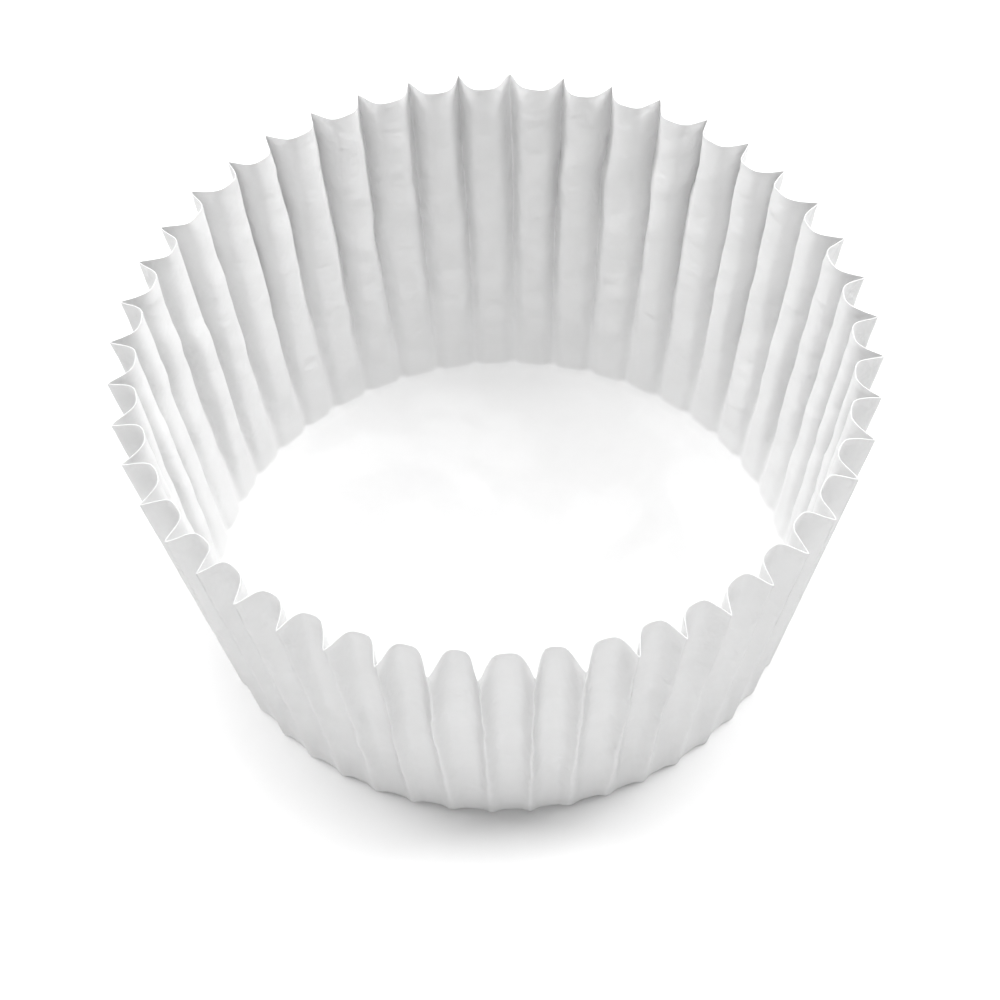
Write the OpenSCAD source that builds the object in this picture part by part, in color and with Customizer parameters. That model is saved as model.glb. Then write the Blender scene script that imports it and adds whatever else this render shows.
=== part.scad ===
// Cupcake liner: one round sheet of greaseproof paper, pressed into a flat
// base with a fluted wall.
//
// The paper doesn't stretch. A ring of the flat sheet keeps its length when
// the wall is folded up, so the flutes must be just deep enough to take up
// what the smaller ring in the cup leaves over. Their depth is worked out
// from that rule, ring by ring, less a share of the spare length that the
// press crushes into the paper. The flutes begin as small scallops in the
// base edge. Every point of a ring also stays as far from the base edge as
// it was in the flat sheet, which lowers the rim a little at each outer fold.
//
// The base rests on z = 0, its centre is the origin and +Z points up.

/* [Base] */

// Diameter of the flat base, across the outer folds of its edge, mm
base_d = 50.8; // [40:0.2:60]

// Depth of the scallops that the flutes press into the base edge, mm
edge_depth = 0.3; // [0:0.05:0.5]

/* [Wall] */

// Width of the ring of paper that forms the wall, from base edge to rim, mm
wall_w = 31.75; // [20:0.25:40]

// Lean of the outer folds away from upright, degrees
fold_lean = 15.5; // [8:0.5:24]

/* [Flutes] */

// Number of flutes round the wall
flute_count = 46; // [30:2:54]

// Pinch of the outer folds: 1 leaves them wide open, more makes them narrow
fold_pinch = 2.4; // [1:0.1:4]

// Roundness of the outer folds at the rim: 1 makes them sharp, 2 round
rim_roundness = 1.3; // [1:0.1:2]

// Roundness of the outer folds at the base edge
base_roundness = 1.9; // [1:0.1:2]

// Share of the spare length that the press crushes into the paper
crush = 0.25; // [0:0.05:0.6]

/* [Paper] */

// Thickness of the paper, mm
paper_t = 0.06; // [0.04:0.01:0.12]

/* [Hidden] */

// Radius of the base edge, mm
base_r = base_d / 2;

// Angle that one flute takes round the wall, degrees
flute_angle = 360 / flute_count;

// Where the points of one flute lie, as parts of its angle from outer fold
// to outer fold: close together at the fold, further apart on the inner face
flute_steps = [0, 0.05, 0.11, 0.19, 0.31, 0.5, 0.69, 0.81, 0.89, 0.95];

// Points in one flute and points in one ring
step_count = len(flute_steps);
ring_count = flute_count * step_count;

// Bands between the base edge and the rim, narrow ones first
band_count = 6;

// Names of the separate pieces

// Piece to show: all, or one of the names above

// Distance of ring k from the base edge, along the paper
function ring_width(k) = wall_w * pow(k / band_count, 2);

// Radius at which the outer folds lie, at distance s from the base edge
function fold_radius(s) = base_r + s * sin(fold_lean);

// How much of the wall lies above distance s: 1 at the base edge, 0 at the rim
function above(s) = 1 - s / wall_w;

// How far a point of the flute lies inside the outer fold, at distance s from
// the base edge: 0 at the fold and 1 in the middle of the inner face
function inset(s, u) =
    let (
        rounder = (base_roundness - rim_roundness) * pow(above(s), 2),
        roundness = rim_roundness + rounder
    )
    1 - pow(1 - pow(sin(180 * u), roundness), fold_pinch);

// Middle of the paper at part u of a flute, at distance s from the outer
// folds of the base edge. The scallop moves the edge inwards there, so the
// paper has that much more to rise.
function paper_point(s, depth, u, flute = 0) =
    let (
        scallop = edge_depth * inset(0, u),
        r = fold_radius(s) - depth * inset(s, u),
        a = flute_angle * (flute + u),
        rise = pow(s + scallop, 2) - pow(r - base_r + scallop, 2)
    )
    [r * cos(a), r * sin(a), paper_t / 2 + sqrt(max(0, rise))];

// Length of paper in one flute, from outer fold to outer fold
function flute_length(s, depth, j = 0) =
    j == step_count
        ? 0
        : let (
            u = flute_steps[j],
            next_u = j + 1 == step_count ? 1 : flute_steps[j + 1]
        )
        norm(paper_point(s, depth, next_u) - paper_point(s, depth, u))
            + flute_length(s, depth, j + 1);

// Length of one flute's share of a whole ring of this radius
function share(r) = 2 * PI * r / flute_count;

// Length of paper that one flute has to take up at distance s: what it has in
// the flat sheet, less what the press crushes into the paper
function paper_length(s) =
    let (spare = share(base_r + s) - share(fold_radius(s)))
    share(base_r + s) - crush * spare;

// Depth of flute that takes up the paper's length, found by halving until
// nothing is left between the two bounds
function flute_depth(s, low, high) =
    let (middle = (low + high) / 2)
    middle <= low || middle >= high
        ? middle
        : flute_length(s, middle) < paper_length(s)
            ? flute_depth(s, middle, high)
            : flute_depth(s, low, middle);

// Depth in every ring; nowhere less than the scallops of the base edge
depths = [
    for (k = [0 : band_count])
        let (s = ring_width(k))
        k == 0 ? edge_depth : flute_depth(s, edge_depth, s * (1 + sin(fold_lean)))
];

// A flat vector of length 1, and the same vector turned to point outwards
function unit(v) = v / norm(v);
function outward(v) = [v.y, -v.x];

// Middle line of ring k, all the way round
function middle_ring(k) = [
    for (flute = [0 : flute_count - 1], u = flute_steps)
        paper_point(ring_width(k), depths[k], u, flute)
];

// Skin of the paper in ring k: side is 1 outside and -1 inside. Each point
// moves square to the paper, by half the thickness.
function skin_ring(k, side) =
    let (
        ring = middle_ring(k),
        last = ring_count - 1
    )
    [
        for (i = [0 : last])
            let (
                here = [ring[i].x, ring[i].y],
                before = ring[i == 0 ? last : i - 1],
                after = ring[i == last ? 0 : i + 1],
                n1 = outward(unit(here - [before.x, before.y])),
                n2 = outward(unit([after.x, after.y] - here)),
                flat = here + side * paper_t / 2 * (n1 + n2) / (1 + n1 * n2),
                z = k > 0 ? ring[i].z : side > 0 ? 0 : paper_t
            )
            [flat.x, flat.y, z]
    ];

// Number of point i of ring k, on the outside or the inside skin
function point_id(side, k, i) =
    ((side > 0 ? 0 : band_count + 1) + k) * ring_count + i % ring_count;

// Two triangles of one patch of skin; the cut across the patch changes
// sides in the middle of the flute, so that its two halves are alike
function patch(side, k, i) =
    let (
        a = point_id(side, k, i),
        b = point_id(side, k + 1, i),
        c = point_id(side, k + 1, i + 1),
        d = point_id(side, k, i + 1),
        first_half = i % step_count < step_count / 2,
        cut = first_half ? [[a, b, c], [a, c, d]] : [[a, b, d], [b, c, d]]
    )
    side > 0 ? cut : [for (t = cut) [t[0], t[2], t[1]]];

// Cut edge of the paper at the rim
function rim_patch(i) =
    let (
        a = point_id(1, band_count, i),
        b = point_id(-1, band_count, i),
        c = point_id(-1, band_count, i + 1),
        d = point_id(1, band_count, i + 1)
    )
    [[a, b, c], [a, c, d]];

module liner() {
    skins = [
        for (side = [1, -1], k = [0 : band_count])
            each skin_ring(k, side)
    ];
    walls = [
        for (side = [1, -1], k = [0 : band_count - 1], i = [0 : ring_count - 1])
            each patch(side, k, i)
    ];
    rim = [
        for (i = [0 : ring_count - 1])
            each rim_patch(i)
    ];
    underside = [for (i = [0 : ring_count - 1]) point_id(1, 0, i)];
    floor_top = [for (i = [ring_count - 1 : -1 : 0]) point_id(-1, 0, i)];
    color("white")
        polyhedron(
            points = skins,
            faces = concat(walls, rim, [underside, floor_top]),
            convexity = 20
        );
}

liner();
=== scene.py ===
# Cupcake liner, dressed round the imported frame. Blender 4.5, metres.
import math
import random

import bmesh
import bpy
import numpy as np
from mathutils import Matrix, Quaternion, Vector, noise


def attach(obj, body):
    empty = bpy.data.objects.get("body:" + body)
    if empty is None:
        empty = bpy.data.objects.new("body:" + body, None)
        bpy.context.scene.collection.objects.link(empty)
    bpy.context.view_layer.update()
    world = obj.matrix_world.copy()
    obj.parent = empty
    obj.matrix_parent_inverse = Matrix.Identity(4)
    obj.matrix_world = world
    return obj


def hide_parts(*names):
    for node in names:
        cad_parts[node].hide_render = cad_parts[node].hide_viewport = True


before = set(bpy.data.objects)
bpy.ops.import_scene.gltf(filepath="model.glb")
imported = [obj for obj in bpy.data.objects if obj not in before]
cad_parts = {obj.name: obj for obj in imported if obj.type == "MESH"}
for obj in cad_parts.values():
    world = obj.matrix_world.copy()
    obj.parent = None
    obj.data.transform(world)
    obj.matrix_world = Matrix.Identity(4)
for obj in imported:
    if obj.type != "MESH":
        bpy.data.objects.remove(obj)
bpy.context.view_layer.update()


# The liner
#
# One round sheet of thin white greaseproof paper. A press folds the outer
# ring of the sheet up into a wall and gathers it into flutes. The paper
# can't stretch, so the flutes take up what the smaller ring leaves over.

mm = 0.001
base_radius = 25.4 * mm
wall_width = 31.5 * mm
fold_lean = math.radians(15.5)
flute_count = 46
paper_thickness = 0.06 * mm
corner_width = 0.3 * mm

# Depth of the scallops that the flutes press into the base edge, and the
# share of the spare length that the press crushes into the paper
edge_depth = 0.3 * mm
crushed = 0.1

# The outer folds grow rounder towards the base, and narrower below their
# kinks, and the inner faces bulge a little. The flutes are fully formed above
# the lowest quarter of the wall.
rim_roundness = 1.25
rounder_at_base = 0.65
narrower_below_kink = 0.6
face_bulge = 0.22
formed_above = 0.25

# Parts of the wall's height in which a fold jogs and in which it narrows
jog_height = 0.012
narrowing_height = 0.025

# Points in one flute and in one ring, and rings in the wall
flute_points = 24
ring_points = flute_count * flute_points
wall_rings = 34

# How each fold and each flute differs a little from its neighbours
paper_random = random.Random(46)


def each_flute(draw):
    return np.array([draw() for _ in range(flute_count)])


fold_shift = each_flute(lambda: paper_random.gauss(0, 0.06)) * mm
fold_retreat = each_flute(lambda: abs(paper_random.gauss(0, 0.09))) * mm
kink_shift = each_flute(lambda: paper_random.gauss(0, 0.32)) * mm
kink_height = each_flute(lambda: paper_random.uniform(0.5, 0.78))
face_skew = each_flute(lambda: paper_random.gauss(0, 0.06))
fold_pinch = each_flute(lambda: paper_random.uniform(2.6, 3.0))

# Waves in which the folds wander sideways on their way up: how far, how
# unlike the next fold's, how many in the wall, and where the pattern starts
fold_waves = (
    (0.12, 3.7, 2.3, 5.0),
    (0.18, 5.1, 7.5, 9.0),
    (0.10, 4.3, 15.0, 2.0),
)


def fold_places(s):
    """Angles and radii of the outer folds, at distance s from the base edge."""
    up = s / wall_width
    kink = kink_shift * up / (1 + np.exp((up - kink_height) / jog_height))
    wander = np.array([
        sum(
            far * noise.noise(Vector((fold * unlike, up * many, start)))
            for far, unlike, many, start in fold_waves
        )
        for fold in range(flute_count)
    ]) * mm
    radii = base_radius + s * math.sin(fold_lean) - fold_retreat * up
    shift = (fold_shift * up + kink + wander * min(1, up / formed_above)) / radii
    angles = 2 * math.pi * np.arange(flute_count) / flute_count + shift
    return np.append(angles, angles[0] + 2 * math.pi), np.append(radii, radii[0])


def fold_shape(up, part):
    """How far parts of each flute lie inside its outer folds, from 0 to 1.

    up is the height in the wall, from 0 at the base edge to 1 at the rim."""
    skew = face_skew[:, None]
    leaning = np.where(
        skew > 0, part ** (1 + abs(skew)), 1 - (1 - part) ** (1 + abs(skew))
    )
    below_kink = 1 / (1 + np.exp((up - kink_height) / narrowing_height))
    pinch = fold_pinch + narrower_below_kink * below_kink
    roundness = rim_roundness + rounder_at_base * (1 - up) ** 2
    slot = 1 - (1 - np.sin(math.pi * leaning) ** roundness) ** pinch[:, None]
    return slot * (1 - face_bulge * (2 * leaning - 1) ** 2)


def pressed_ring(s, steps=96, halvings=30):
    """Points of one ring of the wall, at distance s from the base edge, and
    how deep the base edge's scallops are below them.

    The flutes take up what the ring of the flat sheet is longer than the ring
    in the cup, less the share that the press crushes into the paper. The
    depth that does it is found by halving."""
    angles, radii = fold_places(s)
    up = s / wall_width
    part = np.linspace(0, 1, steps + 1)
    inset = fold_shape(up, part)
    scallop = edge_depth * fold_shape(0, part)
    fold_radius = radii[:-1, None] + np.diff(radii)[:, None] * part
    angle = angles[:-1, None] + np.diff(angles)[:, None] * part
    flat_length = 2 * math.pi * (base_radius + s) / flute_count
    cup_length = 2 * math.pi * (base_radius + s * math.sin(fold_lean)) / flute_count
    paper_length = flat_length - crushed * (flat_length - cup_length)
    # The depth lies between the scallops' and that of paper nearly lying flat
    shallow = np.full(flute_count, edge_depth)
    deep = np.full(flute_count, s * (1 + math.sin(fold_lean)) * 0.98)
    for _ in range(halvings):
        depth = (shallow + deep) / 2
        radius = fold_radius - depth[:, None] * inset
        rise = (s + scallop) ** 2 - (radius - base_radius + scallop) ** 2
        height = np.sqrt(np.maximum(0, rise))
        line = np.stack([radius * np.cos(angle), radius * np.sin(angle), height], -1)
        pieces = np.linalg.norm(np.diff(line, axis=1), axis=2)
        length = pieces.sum(axis=1)
        shallow = np.where(length < paper_length, depth, shallow)
        deep = np.where(length < paper_length, deep, depth)
    line[..., 2] += paper_thickness / 2
    line = np.append(line, scallop[..., None], axis=2)
    # Points lie closer together in the folds than on the flat inner faces
    even = np.arange(flute_points) / flute_points
    crowding = 0.5 * min(1, up / formed_above)
    parts = even - crowding * np.sin(2 * math.pi * even) / (2 * math.pi)
    ring = []
    for flute in range(flute_count):
        walked = np.append(0, np.cumsum(pieces[flute]))
        wanted = walked[-1] * parts
        ring.append([np.interp(wanted, walked, line[flute, :, i]) for i in range(4)])
    return np.array(ring).transpose(0, 2, 1).reshape(ring_points, 4)


# The sheet, still flat: the middle as a coarse net, the outer ring as a fine
# one, both spun from a line of points and joined where they meet
liner_mesh = bmesh.new()


def spin_net(radii, points):
    """Net of flat paper between the first and the last of these radii."""
    line = [liner_mesh.verts.new((radius, 0, 0)) for radius in radii]
    edges = [liner_mesh.edges.new(pair) for pair in zip(line, line[1:])]
    bmesh.ops.spin(
        liner_mesh, geom=line + edges, axis=(0, 0, 1), cent=(0, 0, 0),
        angle=2 * math.pi, steps=points, use_merge=True,
    )


middle_radius = 0.94 * base_radius
middle_rings = 12
spin_net(np.linspace(0, middle_radius, middle_rings), flute_count)

# The wall's rings lie closer together near the base
closeness = 1.4
corner_steps = [corner_width * t for t in (-4, -1, -0.5, 0, 0.5)]
wall_steps = [
    corner_width + (wall_width - corner_width) * (k / wall_rings) ** closeness
    for k in range(wall_rings + 1)
]
spin_net([base_radius + s for s in corner_steps + wall_steps], ring_points)
bmesh.ops.remove_doubles(liner_mesh, verts=liner_mesh.verts, dist=0.001 * mm)
meeting_edges = [
    edge for edge in liner_mesh.edges if edge.is_boundary
    and edge.verts[0].co.length < base_radius
]
bmesh.ops.bridge_loops(liner_mesh, edges=meeting_edges)
liner_mesh.verts.ensure_lookup_table()

# The pattern of the paper follows the flat sheet
sheet_width = 2 * (base_radius + wall_width)
sheet_places = liner_mesh.loops.layers.uv.new("sheet")
for face in liner_mesh.faces:
    for loop in face.loops:
        loop[sheet_places].uv = loop.vert.co.xy / sheet_width + Vector((0.5, 0.5))

# The press folds the wall up, in a narrow round corner
flat = np.array([vert.co for vert in liner_mesh.verts])
beyond = np.hypot(flat[:, 0], flat[:, 1]) - base_radius
turn = np.arctan2(flat[:, 1], flat[:, 0]) / (2 * math.pi)
point = np.rint(turn * ring_points).astype(int) % ring_points
ring = np.abs(beyond[:, None] - wall_steps).argmin(axis=1)
pressed_rings = np.array([pressed_ring(s) for s in wall_steps])
on_wall = pressed_rings[ring, point, :3]
corner_end, scallop = pressed_rings[0, point, :3], pressed_rings[0, point, 3:]
outward = corner_end * (1, 1, 0)
outward /= np.linalg.norm(outward, axis=1)[:, None]
lift = np.array([0, 0, paper_thickness / 2])
at_edge = outward * (base_radius - scallop) + lift
on_floor = at_edge - outward * corner_width
past_floor = beyond[:, None] + scallop + corner_width
go = np.clip(past_floor / (2 * corner_width + scallop), 0, 1)
in_corner = on_floor * (1 - go) ** 2 + at_edge * 2 * go * (1 - go) + corner_end * go ** 2
slip = 0.01 * mm
pressed = np.where(
    (beyond > corner_width - slip)[:, None], on_wall,
    np.where(past_floor > slip, in_corner, flat + lift),
)
for vert, place in zip(liner_mesh.verts, pressed):
    vert.co = place

# Slight cockling of the wall in wide and in small waves, as thin paper has
# after pressing; the folds are stiffer than the faces, and the foot of the
# wall than the rest
cockle_height = 0.07 * mm
wide_cockle, small_cockle, small_share = 3.2 * mm, 1.7 * mm, 1.3
stiff_fold = 0.3
stiff_foot, corner_height = 8 * mm, 0.5 * mm

bmesh.ops.recalc_face_normals(liner_mesh, faces=liner_mesh.faces)
liner_mesh.normal_update()
across_face = np.sin(math.pi * (point % flute_points) / flute_points)
give = stiff_fold + (1 - stiff_fold) * across_face
for vert, most in zip(liner_mesh.verts, give):
    if vert.co.z > corner_height:
        part = most * min(1, vert.co.z / stiff_foot)
        wave = noise.noise(vert.co / wide_cockle)
        wave += small_share * noise.noise(vert.co / small_cockle)
        vert.co += vert.normal * wave * part * cockle_height

for face in liner_mesh.faces:
    face.smooth = True
for edge in liner_mesh.edges:
    edge.smooth = not edge.is_boundary

liner_data = bpy.data.meshes.new("liner_paper")
liner_mesh.to_mesh(liner_data)
liner_mesh.free()
liner = bpy.data.objects.new("liner_paper", liner_data)
bpy.context.scene.collection.objects.link(liner)

thickness = liner.modifiers.new("paper thickness", "SOLIDIFY")
thickness.thickness = paper_thickness
thickness.offset = 0
thickness.use_even_offset = True

# White all over, a little cloudy, with fibres that show in its sheen. Some of
# the light comes through.
paper = bpy.data.materials.new("greaseproof paper")
paper.use_nodes = True
nodes, links = paper.node_tree.nodes, paper.node_tree.links
nodes.clear()

sheet = nodes.new("ShaderNodeUVMap")
sheet.uv_map = "sheet"


def sheet_pattern(scale, detail, roughness=0.5, distortion=0.0):
    """Uneven pattern that follows the flat sheet."""
    pattern = nodes.new("ShaderNodeTexNoise")
    pattern.inputs["Scale"].default_value = scale
    pattern.inputs["Detail"].default_value = detail
    pattern.inputs["Roughness"].default_value = roughness
    pattern.inputs["Distortion"].default_value = distortion
    links.new(sheet.outputs["UV"], pattern.inputs["Vector"])
    return pattern


clouds = sheet_pattern(60, detail=5, roughness=0.6)
fibres = sheet_pattern(420, detail=4, distortion=1.4)

tint = nodes.new("ShaderNodeValToRGB")
tint.color_ramp.elements[0].position = 0.3
tint.color_ramp.elements[0].color = (0.825, 0.825, 0.825, 1)
tint.color_ramp.elements[1].position = 0.7
tint.color_ramp.elements[1].color = (0.84, 0.84, 0.84, 1)
links.new(clouds.outputs["Fac"], tint.inputs["Fac"])

gloss = nodes.new("ShaderNodeMapRange")
gloss.inputs["From Min"].default_value = 0.3
gloss.inputs["From Max"].default_value = 0.7
gloss.inputs["To Min"].default_value = 0.62
gloss.inputs["To Max"].default_value = 0.78
links.new(fibres.outputs["Fac"], gloss.inputs["Value"])

relief = nodes.new("ShaderNodeBump")
relief.inputs["Strength"].default_value = 0.35
relief.inputs["Distance"].default_value = 0.02 * mm
links.new(fibres.outputs["Fac"], relief.inputs["Height"])

# Fine creases that the press leaves in the wall; the base stays smooth
creases = sheet_pattern(65, detail=2, distortion=0.2)

from_middle = nodes.new("ShaderNodeVectorMath")
from_middle.operation = "DISTANCE"
from_middle.inputs[1].default_value = (0.5, 0.5, 0)
links.new(sheet.outputs["UV"], from_middle.inputs[0])

pressed_part = nodes.new("ShaderNodeMapRange")
pressed_part.inputs["From Min"].default_value = base_radius / sheet_width
pressed_part.inputs["From Max"].default_value = 1.2 * base_radius / sheet_width
pressed_part.inputs["To Min"].default_value = 0.1
links.new(from_middle.outputs["Value"], pressed_part.inputs["Value"])

creasing = nodes.new("ShaderNodeBump")
creasing.inputs["Distance"].default_value = 0.28 * mm
links.new(creases.outputs["Fac"], creasing.inputs["Height"])
links.new(pressed_part.outputs["Result"], creasing.inputs["Strength"])
links.new(creasing.outputs["Normal"], relief.inputs["Normal"])

front = nodes.new("ShaderNodeBsdfPrincipled")
front.inputs["IOR"].default_value = 1.45
links.new(tint.outputs["Color"], front.inputs["Base Color"])
links.new(gloss.outputs["Result"], front.inputs["Roughness"])
links.new(relief.outputs["Normal"], front.inputs["Normal"])

through = nodes.new("ShaderNodeBsdfTranslucent")
links.new(tint.outputs["Color"], through.inputs["Color"])

paper_mix = nodes.new("ShaderNodeMixShader")
paper_mix.inputs["Fac"].default_value = 0.2
links.new(front.outputs["BSDF"], paper_mix.inputs[1])
links.new(through.outputs["BSDF"], paper_mix.inputs[2])

out = nodes.new("ShaderNodeOutputMaterial")
links.new(paper_mix.outputs["Shader"], out.inputs["Surface"])

liner_data.materials.append(paper)
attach(liner, "root")
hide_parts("liner")


# The table
#
# A plain, pale, matt surface that the liner stands on. It isn't part of the
# object.

table_mesh = bmesh.new()
bmesh.ops.create_grid(table_mesh, x_segments=1, y_segments=1, size=3)
table_data = bpy.data.meshes.new("table")
table_mesh.to_mesh(table_data)
table_mesh.free()
table = bpy.data.objects.new("table", table_data)
bpy.context.scene.collection.objects.link(table)

table_finish = bpy.data.materials.new("table top")
table_finish.use_nodes = True
table_nodes, table_links = table_finish.node_tree.nodes, table_finish.node_tree.links
table_shader = table_nodes["Principled BSDF"]
table_shader.inputs["Roughness"].default_value = 0.8

# The camera sees it white, but it throws less light back onto the liner, so
# that the outside of the wall isn't flooded from below
seen_by = table_nodes.new("ShaderNodeLightPath")
whiteness = table_nodes.new("ShaderNodeMapRange")
whiteness.inputs["To Min"].default_value = 0.75
whiteness.inputs["To Max"].default_value = 0.95
table_links.new(seen_by.outputs["Is Camera Ray"], whiteness.inputs["Value"])
table_links.new(whiteness.outputs["Result"], table_shader.inputs["Base Color"])
table_data.materials.append(table_finish)


# The light
#
# Broad soft lamps: one above, a weak one in front, and three at each side, one
# of them high, one low and one further back. The right side's are stronger.

lamp_distance = 1.0


def soft_lamp(name, azimuth, elevation, size, watts):
    """A square lamp that faces the liner; azimuth 0 is the camera's side."""
    lamp_data = bpy.data.lights.new(name, "AREA")
    lamp_data.shape = "SQUARE"
    lamp_data.size = size
    lamp_data.energy = watts
    lamp = bpy.data.objects.new(name, lamp_data)
    across, up = math.radians(azimuth), math.radians(elevation)
    away = Vector((
        math.cos(up) * math.sin(across), -math.cos(up) * math.cos(across), math.sin(up)
    ))
    lamp.location = away * lamp_distance
    lamp.rotation_euler = away.to_track_quat("Z", "Y").to_euler()
    bpy.context.scene.collection.objects.link(lamp)


soft_lamp("top lamp", 180, 86, 0.6, 8.0)
soft_lamp("front lamp", 0, 15, 0.6, 2.8)
for side, name, strength in ((-1, "left", 0.87), (1, "right", 1.07)):
    soft_lamp(name + " high lamp", side * 105, 45, 0.5, 5.4 * strength)
    soft_lamp(name + " side lamp", side * 110, 22, 0.5, 2.2 * strength)
    soft_lamp(name + " back lamp", side * 150, 30, 0.5, 1.2 * strength)

# Dim white all round, which the camera sees as bright white
studio = bpy.data.worlds.new("studio")
studio.use_nodes = True
studio_nodes, studio_links = studio.node_tree.nodes, studio.node_tree.links
backdrop = studio_nodes["Background"]
backdrop.inputs["Color"].default_value = (1, 1, 1, 1)
rays = studio_nodes.new("ShaderNodeLightPath")
brightness = studio_nodes.new("ShaderNodeMapRange")
brightness.inputs["To Min"].default_value = 0.13
brightness.inputs["To Max"].default_value = 1
studio_links.new(rays.outputs["Is Camera Ray"], brightness.inputs["Value"])
studio_links.new(brightness.outputs["Result"], backdrop.inputs["Strength"])
bpy.context.scene.world = studio
bpy.context.scene.view_settings.view_transform = "Standard"


# The camera
#
# It looks down on the liner at the angle of the photograph, turned a little
# on its own axis, from as far away, through a longer lens.

camera_distance = 930 * mm
camera_elevation = math.radians(52)
camera_roll = math.radians(-2)
camera_target = Vector((0, -1.5 * mm, 14 * mm))
frame_width = 88 * mm

camera_data = bpy.data.cameras.new("camera")
camera_data.angle = 2 * math.atan(frame_width / 2 / camera_distance)
camera = bpy.data.objects.new("camera", camera_data)
back = Vector((0, -math.cos(camera_elevation), math.sin(camera_elevation)))
camera.location = camera_target + back * camera_distance
level = (-back).to_track_quat("-Z", "Y")
camera.rotation_euler = (level @ Quaternion((0, 0, 1), camera_roll)).to_euler()
bpy.context.scene.collection.objects.link(camera)
bpy.context.scene.camera = camera
